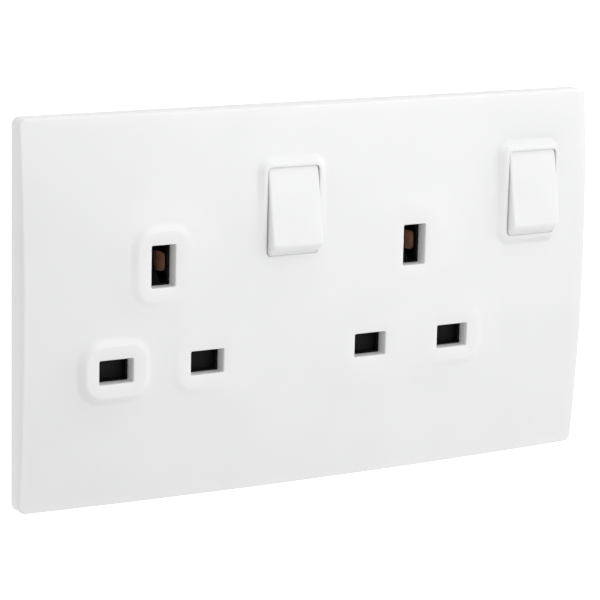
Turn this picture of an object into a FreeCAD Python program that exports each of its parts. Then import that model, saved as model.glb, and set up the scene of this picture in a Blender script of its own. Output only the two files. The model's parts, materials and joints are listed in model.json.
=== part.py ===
import FreeCAD, Part
import math
import os

# A UK twin switched socket outlet for a two-gang wall box.
# X runs to the right as seen from the front, Z is up and the front faces -Y.
# The wall's surface is the plane y = 0. The origin lies midway between the two fixing screws.
# Lengths are in millimetres and angles in degrees.

# Front plate
PLATE_WIDTH = 146.0
PLATE_HEIGHT = 86.0
PLATE_CORNER = 2.2
DOME_DEPTH = 9.1
DOME_RADIUS_ACROSS = 988.0
DOME_RADIUS_UPRIGHT = 386.0
PLATE_WALL = 1.8
RIM_WALL = 2.0
POCKET_WALL = 1.3
POCKET_CLEARANCE = 0.1
PAD_FACE = 9.0
PAD_MARGIN = 3.0
PAD_CORNER = 3.9
WELL_DEPTH = 3.1
WELL_WALL = 1.2
SWITCH_WELL_INSET = 0.3
SWITCH_WELL_SPARE = 0.15

# Layout of the two outlets and their switches
GANG_PITCH = 64.2
LEFT_OUTLET_X = -41.1
SWITCH_OFFSET_X = 32.1
EARTH_Z = 10.0
LINE_Z = -12.23
PIN_SPACING = 22.23
SWITCH_Z = 20.0

# Pin apertures in the plate and, smaller, in the front housing behind it
SIDE_APERTURE = (8.25, 5.4)
EARTH_APERTURE = (5.9, 9.4)
INNER_SIDE_APERTURE = (7.2, 4.8)
INNER_EARTH_APERTURE = (4.8, 8.8)

# Switch windows and collars
WINDOW_WIDTH = 13.2
WINDOW_CORNER = 0.8
COLLAR_RIM = 1.35
COLLAR_RIM_ENDS = 1.45
COLLAR_CORNER = 2.5

# Rocker
PIVOT_DEPTH = -3.0
ROCKER_RADIUS = 11.25
ROCKER_FACE = 7.25
ROCKER_TILT = 10.5
ROCKER_WALL = 1.25
ROCKER_CLEARANCE = 0.25
ROCKER_END_CLEARANCE = 0.3
ROCKER_SKIRT = 2.5
ROCKER_CORNER = 0.7
TRUNNION_RADIUS = 1.45
TRUNNION_CLEARANCE = 0.05
TRUNNION_LENGTH = 1.5
TRUNNION_LOBE = 1.9

# Plungers in the rocker
POLE_OFFSET = 3.4
PLUNGER_HALF = 1.5
PLUNGER_HALF_WIDTH = 1.3
PLUNGER_REACH = 9.5
PLUNGER_LENGTH = 8.5
PLUNGER_CLEARANCE = 0.1
PLUNGER_BLOCK_WALL = 0.7
PLUNGER_BLOCK_END = 5.0
PLUNGER_SPRING_WIRE = 0.35
PLUNGER_SPRING_TURNS = 4

# Moving contacts, which rock on a post under each plunger
CONTACT_RATIO = 0.6
CONTACT_THICKNESS = 0.8
CONTACT_WIDTH = 3.8
TRACK_CLEARANCE = 0.15
TROUGH_HALF = 2.3
LONG_ARM = 9.6
SHORT_ARM = 5.2
CONTACT_POINT = 8.3
RIVET_RADIUS = 1.4
RIVET_HEIGHT = 0.7
RIVET_SEAT = 0.2
POST_THICKNESS = 0.8
POST_WIDTH = 3.8
POST_GAP = 0.05
HORN_WIDTH = 0.9
HORN_RISE = 2.0
HORN_ROOT = 1.4
HORN_CLEARANCE = 0.12
HORN_PLAY = 0.45
CLOSED_GAP = 0.05

# Current-carrying strips, one level behind the other
STRIP_THICKNESS = 0.7
TAIL_WIDTH = 2.4
BUSBAR_WIDTH = 3.0
LINE_BUS_Z = 17.6
NEUTRAL_BUS_Z = 23.2
NEUTRAL_TAIL_Z = -18.5
TAIL_GAP = 4.6
TAIL_WALL_GAP = 0.2
EARTH_BAR_DEPTH = 15.1
EARTH_STEP_GAP = 1.5

# Sprung clips for the plug's pins
PIN_THICKNESS = 3.97
CLIP_THICKNESS = 0.6
SIDE_CLIP_WIDTH = 6.0
SIDE_CLIP_FRONT = -1.8
SIDE_CLIP_MOUTH = 3.0
CLIP_PINCH = 0.2
CLIP_BELLY = 0.4
CLIP_PINCH_DEPTH = 2.5
CLIP_BELLY_DEPTH = 6.5
EARTH_CLIP_FRONT = -4.5
EARTH_CLIP_MOUTH = 2.4
EARTH_CLIP_HEIGHT = 4.3
EARTH_CLIP_ROUND = 1.2
EARTH_CLIP_STRAIGHT_END = 1.0
EARTH_CLIP_NECK_DEPTH = 5.0
EARTH_CLIP_FLARE = 2.4
EARTH_CLIP_PINCH = 0.3
EARTH_CLIP_BELLY = 0.15

# Shutters
SHUTTER_THICKNESS = 1.8
SHUTTER_CLEARANCE = 0.15
SHUTTER_TRAVEL = 5.8
SHUTTER_OVERLAP = 1.0
SHUTTER_COVER = 0.6
SHUTTER_STOP_INSET = 0.1
SHUTTER_BAR_HEIGHT = 4.0
SHUTTER_STEM_WIDTH = 6.0
RAMP_WIDTH = 2.6
RAMP_FOOT = 0.3
RAMP_ROOT = 1.5
RAMP_STEP = 0.9
RAMP_END_HEIGHT = 3.0
SHUTTER_SEAT_DEPTH = 3.5
SPIGOT_WIDTH = 1.1
SPIGOT_LENGTH = 1.6
SHUTTER_SPRING_RADIUS = 1.3
SHUTTER_SPRING_WIRE = 0.45
SHUTTER_SPRING_TURNS = 5
GUIDE_WIDTH = 1.2
GUIDE_LIP = 0.75
GUIDE_TOP = 3.0
GUIDE_BOTTOM = -8.0

# Housings
HOUSING_WALL = 1.6
HOUSING_LEFT = -58.6
HOUSING_TOP = 33.4
HOUSING_BOTTOM = -32.5
HOUSING_WAIST = 54.5
HOUSING_FRONT_WALL = 1.2
LUG_NOTCH_BOTTOM = -7.0
REAR_DEPTH = 22.0
REAR_FLOOR = 2.0
CHEEK_THICKNESS = 1.6
TAB_WIDTH = 12.0
TAB_REACH = 3.0
TAB_THICKNESS = 1.5
TAB_PLACES = (-44.0, 2.0, 46.0)
POLE_BARRIER = 1.0
POLE_BARRIER_FRONT = 3.5
POLE_BARRIER_GAP = 0.5
POLE_BARRIER_REACH = 7.0
PILLAR_WIDTH = 4.0
CONTACT_PILLAR_WIDTH = 3.0

# Mounting frame
FRAME_THICKNESS = 2.2
FRAME_CLEARANCE = 0.25
FIXING_SPACING = 120.6
FIXING_HOLE_RADIUS = 2.1
FRAME_RIB_HEIGHT = 1.5
FRAME_RIB_WIDTH = 1.4
FRAME_RIB_LENGTH = 96.0
FRAME_RIB_Z = 38.4
SNAP_LENGTH = 8.0
SNAP_REACH = 0.55
SNAP_NEAR = 0.5
SNAP_FAR = 1.7
SNAP_PLACES = (-45.0, 0.0, 45.0)
SNAP_CLEARANCE = 0.15
SNAP_LAND = 0.4
SNAP_ROOT = 0.5

# Screws that join the two housings
SCREW_PLACES = ((-54.0, 28.4), (24.0, 29.0), (-54.0, -28.4), (49.6, -28.4))
SCREW_SHANK = 1.4
SCREW_HEAD = 2.6
SCREW_HEAD_HEIGHT = 1.7
SCREW_HEAD_SINK = 0.1
SCREW_CLEARANCE = 0.15
SCREW_TIP = -2.8
PILOT_CLEARANCE = 0.05
PILOT_SPARE = 0.5
COLUMN_WIDTH = 6.2

# Terminals
TERMINAL_Z = -26.8
TERMINAL_WIDTH = 8.4
TERMINAL_HEIGHT = 7.8
TERMINAL_DEPTH = 10.0
TUNNEL_RADIUS = 2.25
TUNNEL_SETBACK = 6.3
CABLE_BAY_MARGIN = 2.9
TERMINAL_SCREW_RADIUS = 1.7
TERMINAL_SCREW_HEAD = 2.5
TERMINAL_SCREW_HEIGHT = 1.6
TERMINAL_SCREW_SPARE = 0.1
SCREW_ACCESS_RADIUS = 2.9
SCREW_SLOT = 0.8
LINE_TERMINAL_X = 4.5
NEUTRAL_TERMINAL_X = -20.0
TERMINAL_RIB = 1.2
TERMINAL_RIB_GAP = 0.8

# How far joined pieces of one moulding or strip run into each other, and cutters run past a face
JOIN = 0.2
EXTRA = 0.02

SIDES = ("left", "right")
OUTLET_X = {"left": LEFT_OUTLET_X, "right": LEFT_OUTLET_X + GANG_PITCH}
SWITCH_X = {side: OUTLET_X[side] + SWITCH_OFFSET_X for side in SIDES}
TERMINAL_X = {
    "line_terminal": LINE_TERMINAL_X,
    "neutral_terminal": NEUTRAL_TERMINAL_X,
    "left_earth_terminal": OUTLET_X["left"],
    "right_earth_terminal": OUTLET_X["right"],
}

# Planes that several pieces share
HOUSING_FACE = -PAD_FACE + WELL_DEPTH
HOUSING_INSIDE = HOUSING_FACE + HOUSING_FRONT_WALL
FLOOR = REAR_DEPTH - REAR_FLOOR
BUS_FACE = FLOOR - STRIP_THICKNESS
CHEEK_INNER = WINDOW_WIDTH / 2
CHEEK_OUTER = CHEEK_INNER + CHEEK_THICKNESS
HOUSING_RIGHT = SWITCH_X["right"] + CHEEK_OUTER + HOUSING_WALL
ROCKER_HALF_WIDTH = WINDOW_WIDTH / 2 - ROCKER_CLEARANCE
WINDOW_RADIUS = ROCKER_RADIUS + ROCKER_END_CLEARANCE
WINDOW_HALF_HEIGHT = math.sqrt(WINDOW_RADIUS**2 - (PAD_FACE + PIVOT_DEPTH) ** 2)
SWITCH_WELL_HALF = WINDOW_RADIUS + SWITCH_WELL_SPARE
LUG_NOTCH_TOP = SWITCH_Z - SWITCH_WELL_HALF - CHEEK_THICKNESS
TERMINAL_FACE = BUS_FACE - TERMINAL_DEPTH
TUNNEL_DEPTH = BUS_FACE - TUNNEL_SETBACK

# Axis of a moving contact: the bottom of its trough, just behind the plunger's tip
CONTACT_AXIS_OFFSET = PLUNGER_HALF + TRACK_CLEARANCE + CONTACT_THICKNESS
CONTACT_AXIS = PIVOT_DEPTH + PLUNGER_REACH + CONTACT_AXIS_OFFSET
CONTACT_TILT = CONTACT_RATIO * ROCKER_TILT

# Shutter planes and heights
SHUTTER_FACE = HOUSING_INSIDE + SHUTTER_CLEARANCE
SHUTTER_BACK = SHUTTER_FACE + SHUTTER_THICKNESS
LOBE_TOP = LINE_Z + INNER_SIDE_APERTURE[1] / 2 + SHUTTER_COVER
LOBE_BOTTOM = LINE_Z - INNER_SIDE_APERTURE[1] / 2 - SHUTTER_COVER
SHUTTER_BOTTOM = LOBE_BOTTOM - SHUTTER_BAR_HEIGHT
RAMP_START = EARTH_Z - INNER_EARTH_APERTURE[1] / 2 + RAMP_FOOT
RAMP_TOP = RAMP_START + SHUTTER_TRAVEL
STEM_TOP = RAMP_START - RAMP_STEP
SPRING_AXIS_DEPTH = SHUTTER_FACE + SHUTTER_SPRING_RADIUS + SHUTTER_SPRING_WIRE
SPRING_SEAT_Z = HOUSING_BOTTOM + HOUSING_WALL

vec = FreeCAD.Vector
ALONG_X = vec(1, 0, 0)
ALONG_Z = vec(0, 0, 1)
NODES = {}


def save(name, shape):
    """Keep one finished piece under its name."""
    NODES[name] = shape.removeSplitter()


def box(x0, x1, y0, y1, z0, z1):
    """A block given by its limits."""
    return Part.makeBox(x1 - x0, y1 - y0, z1 - z0, vec(x0, y0, z0))


def rod(radius, start, end):
    """A round bar between two points."""
    axis = end - start
    return Part.makeCylinder(radius, axis.Length, start, axis)


def prism(radius, x, z, y0, y1):
    """An eight-sided bar along Y, for small round features that nothing turns in."""
    points = []
    for turn in range(8):
        angle = math.radians(45 * turn + 22.5)
        points.append(vec(x + radius * math.cos(angle), y0, z + radius * math.sin(angle)))
    return Part.Face(Part.makePolygon(points + points[:1])).extrude(vec(0, y1 - y0, 0))


def centred_block(x, z, width, height, y0, y1):
    """A block given by the middle and size of its face, drawn from y0 to y1."""
    low, high = sorted((y0, y1))
    return box(x - width / 2, x + width / 2, low, high, z - height / 2, z + height / 2)


def rounded_wire(x, z, width, height, corner, y):
    """A rounded rectangle standing in the plane y."""
    half_w, half_h = width / 2, height / 2
    edges = []
    for turn in range(4):
        angle = math.radians(90 * turn)
        sign_x = 1 if turn in (0, 3) else -1
        sign_z = 1 if turn in (0, 1) else -1
        centre = (x + sign_x * (half_w - corner), z + sign_z * (half_h - corner))
        points = [
            vec(centre[0] + corner * math.cos(a), y, centre[1] + corner * math.sin(a))
            for a in (angle, angle + math.pi / 4, angle + math.pi / 2)
        ]
        if edges:
            edges.append(Part.makeLine(edges[-1].Vertexes[-1].Point, points[0]))
        else:
            first = points[0]
        edges.append(Part.Arc(*points).toShape())
    edges.append(Part.makeLine(edges[-1].Vertexes[-1].Point, first))
    return Part.Wire(edges)


def rounded_block(x, z, width, height, corner, y0, y1):
    """A rounded rectangle drawn out from y0 to y1."""
    face = Part.Face(rounded_wire(x, z, width, height, corner, y0))
    return face.extrude(vec(0, y1 - y0, 0))


def side_profile(points, x0, x1):
    """A closed outline in (y, z) drawn out along X."""
    corners = [vec(x0, y, z) for y, z in points]
    return Part.Face(Part.makePolygon(corners + corners[:1])).extrude(vec(x1 - x0, 0, 0))


def plan_profile(points, z0, z1):
    """A closed outline in (x, y) drawn out along Z."""
    corners = [vec(x, y, z0) for x, y in points]
    return Part.Face(Part.makePolygon(corners + corners[:1])).extrude(vec(0, 0, z1 - z0))


def flat_strip(points, width, y0, thickness):
    """A strip of sheet metal that follows (x, z) points in a plane, with square bends."""
    half = width / 2
    pieces = []
    for (x0, z0), (x1, z1) in zip(points, points[1:]):
        low_x, high_x = sorted((x0, x1))
        low_z, high_z = sorted((z0, z1))
        pieces.append(box(low_x - half, high_x + half, y0, y0 + thickness, low_z - half, high_z + half))
    return pieces[0].multiFuse(pieces[1:]) if len(pieces) > 1 else pieces[0]


def coil(radius, wire, turns, length, steps=6):
    """A compression spring of square wire along Z from 0 to its length, in flat facets."""
    rise = (length - wire) / (turns * steps)
    sections = []
    for step in range(turns * steps + 1):
        angle = 2 * math.pi * step / steps
        out = vec(math.cos(angle), math.sin(angle), 0)
        middle = out * radius + vec(0, 0, wire / 2 + rise * step)
        sections.append(
            [
                middle + out * (wire / 2 * a) + ALONG_Z * (wire / 2 * b)
                for a, b in ((-1, -1), (1, -1), (1, 1), (-1, 1))
            ]
        )
    loops = [sections[0], sections[-1]]
    for here, there in zip(sections, sections[1:]):
        for corner in range(4):
            after = (corner + 1) % 4
            loops.append([here[corner], here[after], there[after]])
            loops.append([here[corner], there[after], there[corner]])
    faces = [Part.Face(Part.makePolygon(loop + loop[:1])) for loop in loops]
    return Part.Solid(Part.makeShell(faces))


def dome():
    """Everything behind the plate's doubly curved front."""
    reach = PLATE_HEIGHT / 2 + 6
    centre_y = DOME_RADIUS_UPRIGHT - DOME_DEPTH
    edge_y = centre_y - math.sqrt(DOME_RADIUS_UPRIGHT**2 - reach**2)
    back = REAR_DEPTH
    arc = Part.Arc(vec(0, edge_y, -reach), vec(0, -DOME_DEPTH, 0), vec(0, edge_y, reach))
    sides = Part.makePolygon(
        [vec(0, edge_y, reach), vec(0, back, reach), vec(0, back, -reach), vec(0, edge_y, -reach)]
    )
    face = Part.Face(Part.Wire([arc.toShape()] + sides.Edges))
    axis = vec(0, DOME_RADIUS_ACROSS - DOME_DEPTH, 0)
    half_turn = math.degrees(math.asin((PLATE_WIDTH / 2 + 8) / DOME_RADIUS_ACROSS))
    face.rotate(axis, ALONG_Z, -half_turn)
    return face.revolve(axis, ALONG_Z, 2 * half_turn)


def inner_dome(inset):
    """Everything more than an inset behind the plate's front, with a front face in flat facets."""
    reach_x, reach_z = PLATE_WIDTH / 2 + 3, PLATE_HEIGHT / 2 + 3
    heights = [reach_z * step / 2 for step in range(-2, 3)]
    sections = []
    for step in range(-3, 4):
        x = reach_x * step / 3
        fall_across = DOME_RADIUS_ACROSS - math.sqrt(DOME_RADIUS_ACROSS**2 - x**2)
        points = [vec(x, REAR_DEPTH, heights[-1]), vec(x, REAR_DEPTH, heights[0])]
        for z in heights:
            fall_upright = DOME_RADIUS_UPRIGHT - math.sqrt(DOME_RADIUS_UPRIGHT**2 - z**2)
            points.append(vec(x, -DOME_DEPTH + fall_across + fall_upright + inset, z))
        sections.append(Part.makePolygon(points + points[:1]))
    return Part.makeLoft(sections, True, True)


def raised_pad(x, z, width, height, corner, spread):
    """A flat-topped pad whose sides sweep out into the dome."""
    # How far the side has come out at each depth below the pad's face
    sweep = ((0.0, 0.0), (1.0, 0.75), (3.2, 4.0))
    sections = [
        rounded_wire(
            x,
            z,
            width + 2 * out * spread,
            height + 2 * out * spread,
            corner + out * spread,
            depth - PAD_FACE,
        )
        for depth, out in sweep
    ]
    return Part.makeLoft(sections, True, True)


def apertures(side_size, earth_size):
    """The three pin apertures of both outlets as (x, z, width, height)."""
    found = []
    for side in SIDES:
        for sign in (-1, 1):
            found.append((OUTLET_X[side] + sign * PIN_SPACING / 2, LINE_Z, *side_size))
        found.append((OUTLET_X[side], EARTH_Z, *earth_size))
    return found


def window_tool(side):
    """The space of one switch window, with end walls that curve about the rocker's pivot."""
    x = SWITCH_X[side]
    half = WINDOW_WIDTH / 2
    drum = rod(WINDOW_RADIUS, vec(x - half, PIVOT_DEPTH, SWITCH_Z), vec(x + half, PIVOT_DEPTH, SWITCH_Z))
    arcs = [e for e in drum.Edges if e.Curve.TypeId == "Part::GeomCircle"]
    drum = drum.makeChamfer(WINDOW_CORNER, arcs)
    front = box(x - half, x + half, -PAD_FACE - 6, PIVOT_DEPTH, SWITCH_Z - 20, SWITCH_Z + 20)
    return drum.common(front)


def housing_outline(offset=0.0):
    """The housings' outline in the plane y = 0, notched where the fixing screws pass."""
    right, waist = HOUSING_RIGHT, HOUSING_WAIST
    points = [
        (HOUSING_LEFT, HOUSING_BOTTOM),
        (waist, HOUSING_BOTTOM),
        (waist, LUG_NOTCH_TOP),
        (right, LUG_NOTCH_TOP),
        (right, HOUSING_TOP),
        (HOUSING_LEFT, HOUSING_TOP),
        (HOUSING_LEFT, LUG_NOTCH_TOP),
        (-waist, LUG_NOTCH_TOP),
        (-waist, LUG_NOTCH_BOTTOM),
        (HOUSING_LEFT, LUG_NOTCH_BOTTOM),
    ]
    corners = [vec(x, 0, z) for x, z in points]
    face = Part.Face(Part.makePolygon(corners + corners[:1]))
    if offset:
        face = face.makeOffset2D(offset, 2)
    return face


def housing_block(offset, y0, y1):
    """The housings' outline drawn out from y0 to y1."""
    face = housing_outline(offset)
    face.translate(vec(0, y0, 0))
    return face.extrude(vec(0, y1 - y0, 0))


def tabs(y0, y1):
    """Clamping tabs above and below the housings."""
    found = []
    for x in TAB_PLACES:
        for inner, outer in (
            (HOUSING_TOP - HOUSING_WALL / 2, HOUSING_TOP + TAB_REACH),
            (HOUSING_BOTTOM - TAB_REACH, HOUSING_BOTTOM + HOUSING_WALL / 2),
        ):
            found.append(box(x - TAB_WIDTH / 2, x + TAB_WIDTH / 2, y0, y1, inner, outer))
    return found


def snap_ribs(clearance):
    """Wedges inside the plate's rim, or the space that they take, grown by a clearance."""
    found = []
    edge = PLATE_HEIGHT / 2 - RIM_WALL
    half = SNAP_LENGTH / 2 + clearance
    reach = SNAP_REACH + clearance
    for x in SNAP_PLACES:
        for sign in (-1, 1):
            near, far = -SNAP_NEAR + clearance, -SNAP_FAR - clearance
            ridge = -SNAP_FAR + SNAP_LAND - clearance
            outline = [
                (near, sign * (edge + SNAP_ROOT)),
                (near, sign * edge),
                (ridge, sign * (edge - reach)),
                (far, sign * (edge - reach)),
                (far, sign * (edge + SNAP_ROOT)),
            ]
            found.append(side_profile(outline, x - half, x + half))
    return found


def cover_plate():
    """The clip-on plate: a domed shell with pads, collars, wells and snap ribs."""
    outer = rounded_block(0, 0, PLATE_WIDTH, PLATE_HEIGHT, PLATE_CORNER, 0, -DOME_DEPTH - 1)
    outer = outer.common(dome())
    raised = [
        raised_pad(x, z, w + 2 * PAD_MARGIN, h + 2 * PAD_MARGIN, PAD_CORNER, 1.0)
        for x, z, w, h in apertures(SIDE_APERTURE, EARTH_APERTURE)
    ]
    for side in SIDES:
        width = WINDOW_WIDTH + 2 * COLLAR_RIM
        height = 2 * (WINDOW_HALF_HEIGHT + COLLAR_RIM_ENDS)
        raised.append(raised_pad(SWITCH_X[side], SWITCH_Z, width, height, COLLAR_CORNER, 0.8))
    shell = outer.multiFuse(raised)
    inner_size = (PLATE_WIDTH - 2 * RIM_WALL, PLATE_HEIGHT - 2 * RIM_WALL)
    cavity = centred_block(0, 0, *inner_size, 1, -DOME_DEPTH - 1).common(inner_dome(PLATE_WALL))
    pocket = housing_block(FRAME_CLEARANCE, HOUSING_FACE, 1).common(inner_dome(POCKET_WALL))
    shell = shell.cut(cavity).cut(pocket)
    wells = []
    for x, z, w, h in apertures(SIDE_APERTURE, EARTH_APERTURE):
        size = (w + 2 * WELL_WALL, h + 2 * WELL_WALL)
        wells.append(centred_block(x, z, *size, HOUSING_FACE, -PAD_FACE + 1))
    for side in SIDES:
        size = (WINDOW_WIDTH + 2 * WELL_WALL, 2 * (WINDOW_RADIUS + WELL_WALL))
        well = centred_block(SWITCH_X[side], SWITCH_Z, *size, HOUSING_FACE, -PAD_FACE + 1)
        wells.append(well.common(inner_dome(SWITCH_WELL_INSET)))
    shell = shell.multiFuse(wells + snap_ribs(0))
    for x, z, w, h in apertures(SIDE_APERTURE, EARTH_APERTURE):
        shell = shell.cut(centred_block(x, z, w, h, -PAD_FACE - 2, HOUSING_FACE + 1))
    for side in SIDES:
        shell = shell.cut(window_tool(side))
    save("cover_plate", shell)


def mounting_frame():
    """The flat frame that the wall screws hold, with catches for the plate."""
    gap = 2 * (RIM_WALL + FRAME_CLEARANCE)
    size = (PLATE_WIDTH - gap, PLATE_HEIGHT - gap)
    frame = centred_block(0, 0, *size, -FRAME_THICKNESS, 0)
    ribs = [
        box(
            -FRAME_RIB_LENGTH / 2,
            FRAME_RIB_LENGTH / 2,
            -FRAME_THICKNESS - FRAME_RIB_HEIGHT,
            -FRAME_THICKNESS,
            sign * FRAME_RIB_Z - FRAME_RIB_WIDTH / 2,
            sign * FRAME_RIB_Z + FRAME_RIB_WIDTH / 2,
        )
        for sign in (-1, 1)
    ]
    frame = frame.multiFuse(ribs)
    frame = frame.cut(housing_block(FRAME_CLEARANCE, -FRAME_THICKNESS - 1, 1))
    for sign in (-1, 1):
        x = sign * FIXING_SPACING / 2
        frame = frame.cut(rod(FIXING_HOLE_RADIUS, vec(x, -FRAME_THICKNESS - 1, 0), vec(x, 1, 0)))
    for rib in snap_ribs(SNAP_CLEARANCE):
        frame = frame.cut(rib)
        behind = rib.BoundBox
        frame = frame.cut(box(behind.XMin, behind.XMax, -SNAP_NEAR, 1, behind.ZMin, behind.ZMax))
    save("mounting_frame", frame)


def switch_well(side):
    """Walls round one rocker, with the bearings for its pivots."""
    x = SWITCH_X[side]
    low, high = SWITCH_Z - SWITCH_WELL_HALF, SWITCH_Z + SWITCH_WELL_HALF
    outer = box(x - CHEEK_OUTER, x + CHEEK_OUTER, HOUSING_INSIDE, 0, low - CHEEK_THICKNESS, high)
    inner = box(x - CHEEK_INNER, x + CHEEK_INNER, HOUSING_INSIDE - 1, 1, low, high + 1)
    return outer.cut(inner)


def front_housing():
    """The black moulding behind the plate."""
    body = housing_block(0, HOUSING_FACE, 0)
    inside = housing_block(-HOUSING_WALL, HOUSING_INSIDE, 1)
    body = body.cut(inside)
    added = [switch_well(side) for side in SIDES]
    added += tabs(-FRAME_THICKNESS - TAB_THICKNESS, -FRAME_THICKNESS)
    for x, z in SCREW_PLACES:
        added.append(centred_block(x, z, COLUMN_WIDTH, COLUMN_WIDTH, HOUSING_INSIDE, 0))
    for side in SIDES:
        x = OUTLET_X[side]
        stem = SHUTTER_STEM_WIDTH / 2 + SHUTTER_CLEARANCE
        lip_face = SHUTTER_BACK + SHUTTER_CLEARANCE
        for sign in (-1, 1):
            near, far = x + sign * stem, x + sign * (stem + GUIDE_WIDTH)
            lip = x + sign * (stem - GUIDE_LIP)
            outline = [
                (near, HOUSING_INSIDE),
                (near, lip_face),
                (lip, lip_face),
                (lip, lip_face + 1),
                (far, lip_face + 1),
                (far, HOUSING_INSIDE),
            ]
            added.append(plan_profile(outline, GUIDE_BOTTOM, GUIDE_TOP))
            stop = STEM_TOP + SHUTTER_CLEARANCE
            inner = x + sign * (INNER_EARTH_APERTURE[0] / 2 + SHUTTER_STOP_INSET)
            low_x, high_x = sorted((inner, far))
            added.append(box(low_x, high_x, HOUSING_INSIDE, lip_face + 1, stop, stop + GUIDE_WIDTH))
        added.append(spring_peg(x, SPRING_SEAT_Z, 1))
    body = body.multiFuse(added).common(inner_dome(POCKET_WALL + POCKET_CLEARANCE))
    for x, z, w, h in apertures(INNER_SIDE_APERTURE, INNER_EARTH_APERTURE):
        body = body.cut(centred_block(x, z, w, h, HOUSING_FACE - 1, HOUSING_INSIDE + EXTRA))
    for side in SIDES:
        x = SWITCH_X[side]
        low, high = SWITCH_Z - SWITCH_WELL_HALF, SWITCH_Z + SWITCH_WELL_HALF
        body = body.cut(box(x - CHEEK_INNER, x + CHEEK_INNER, HOUSING_FACE - 1, 1, low, high))
        # The bearings are slots, open to the back: the plungers' springs press the pivots to their front ends
        radius = TRUNNION_RADIUS + TRUNNION_CLEARANCE
        reach = CHEEK_INNER + TRUNNION_LENGTH
        ends = (vec(x - reach, PIVOT_DEPTH, SWITCH_Z), vec(x + reach, PIVOT_DEPTH, SWITCH_Z))
        body = body.cut(rod(radius, *ends))
        body = body.cut(box(x - reach, x + reach, PIVOT_DEPTH, 1, SWITCH_Z - radius, SWITCH_Z + radius))
    for x, z in SCREW_PLACES:
        body = body.cut(prism(SCREW_SHANK + PILOT_CLEARANCE, x, z, SCREW_TIP - PILOT_SPARE, 1))
    save("front_housing", body)


def rear_housing():
    """The moulding in the wall box, with pillars for the strips and a bay for the cables."""
    body = housing_block(0, 0, REAR_DEPTH)
    body = body.cut(housing_block(-HOUSING_WALL, -1, FLOOR))
    added = tabs(0, TAB_THICKNESS)
    for x, z in SCREW_PLACES:
        added.append(centred_block(x, z, COLUMN_WIDTH, COLUMN_WIDTH, 0, FLOOR))
    half, narrow = PILLAR_WIDTH / 2, CONTACT_PILLAR_WIDTH / 2
    for side in SIDES:
        for sign in (-1, 1):
            x = OUTLET_X[side] + sign * PIN_SPACING / 2
            back = TAIL_FACE + STRIP_THICKNESS
            added.append(box(x - half, x + half, back, FLOOR, LINE_Z - half, LINE_Z + half))
            x = SWITCH_X[side] + sign * POLE_OFFSET
            low_z = SWITCH_Z + CONTACT_POINT - narrow
            added.append(box(x - narrow, x + narrow, back, FLOOR, low_z, HOUSING_TOP - HOUSING_WALL))
        x = OUTLET_X[side]
        bar_back = EARTH_BAR_DEPTH + STRIP_THICKNESS
        added.append(box(x - half, x + half, bar_back, FLOOR, EARTH_Z - half, EARTH_Z + half))
        x = SWITCH_X[side]
        added.append(
            box(
                x - POLE_BARRIER / 2,
                x + POLE_BARRIER / 2,
                POLE_BARRIER_FRONT,
                BUS_FACE - POLE_BARRIER_GAP,
                SWITCH_Z - POLE_BARRIER_REACH,
                HOUSING_TOP - HOUSING_WALL,
            )
        )
    # The bottom wall stops in front of the tunnels, so that the cables come in between the ribs
    rib_at = TERMINAL_WIDTH / 2 + TERMINAL_RIB_GAP
    bay_face = TUNNEL_DEPTH - CABLE_BAY_MARGIN
    bay_left = min(TERMINAL_X.values()) - rib_at
    bay_right = max(TERMINAL_X.values()) + rib_at
    bay_top = HOUSING_BOTTOM + HOUSING_WALL + EXTRA
    body = body.cut(box(bay_left, bay_right, bay_face, FLOOR, HOUSING_BOTTOM - 1, bay_top))
    top = TERMINAL_Z + TERMINAL_HEIGHT / 2
    for x in TERMINAL_X.values():
        for near in (x - rib_at - TERMINAL_RIB, x + rib_at):
            added.append(box(near, near + TERMINAL_RIB, TERMINAL_FACE, FLOOR, HOUSING_BOTTOM, top))
    body = body.multiFuse(added)
    for x, z in SCREW_PLACES:
        head_face = REAR_DEPTH - SCREW_HEAD_HEIGHT
        body = body.cut(prism(SCREW_SHANK + SCREW_CLEARANCE, x, z, -1, REAR_DEPTH))
        body = body.cut(prism(SCREW_HEAD + SCREW_CLEARANCE, x, z, head_face, REAR_DEPTH + 1))
    for x in TERMINAL_X.values():
        body = body.cut(prism(SCREW_ACCESS_RADIUS, x, TERMINAL_Z, FLOOR - EXTRA, REAR_DEPTH + 1))
    save("rear_housing", body)


def rear_screws():
    """Four screws that pass through the rear housing into the front one."""
    screws = []
    head_face = REAR_DEPTH - SCREW_HEAD_HEIGHT
    for x, z in SCREW_PLACES:
        head = prism(SCREW_HEAD, x, z, head_face, REAR_DEPTH - SCREW_HEAD_SINK)
        screws.append(head.fuse(prism(SCREW_SHANK, x, z, SCREW_TIP, head_face)).removeSplitter())
    NODES["housing_screws"] = Part.Compound(screws)


def placed_in_rocker(shape, side):
    """Tilt a shape made about the pivot to the off position and set it in its gang."""
    shape.rotate(vec(0, 0, 0), ALONG_X, -ROCKER_TILT)
    shape.translate(vec(SWITCH_X[side], PIVOT_DEPTH, SWITCH_Z))
    return shape


def drum_sector(radius, front, back, half_width):
    """The slice of a drum about X between two depths in front of its axis."""
    drum = rod(radius, vec(-half_width, 0, 0), vec(half_width, 0, 0))
    return drum.common(box(-half_width, half_width, -front, -back, -radius, radius))


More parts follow.
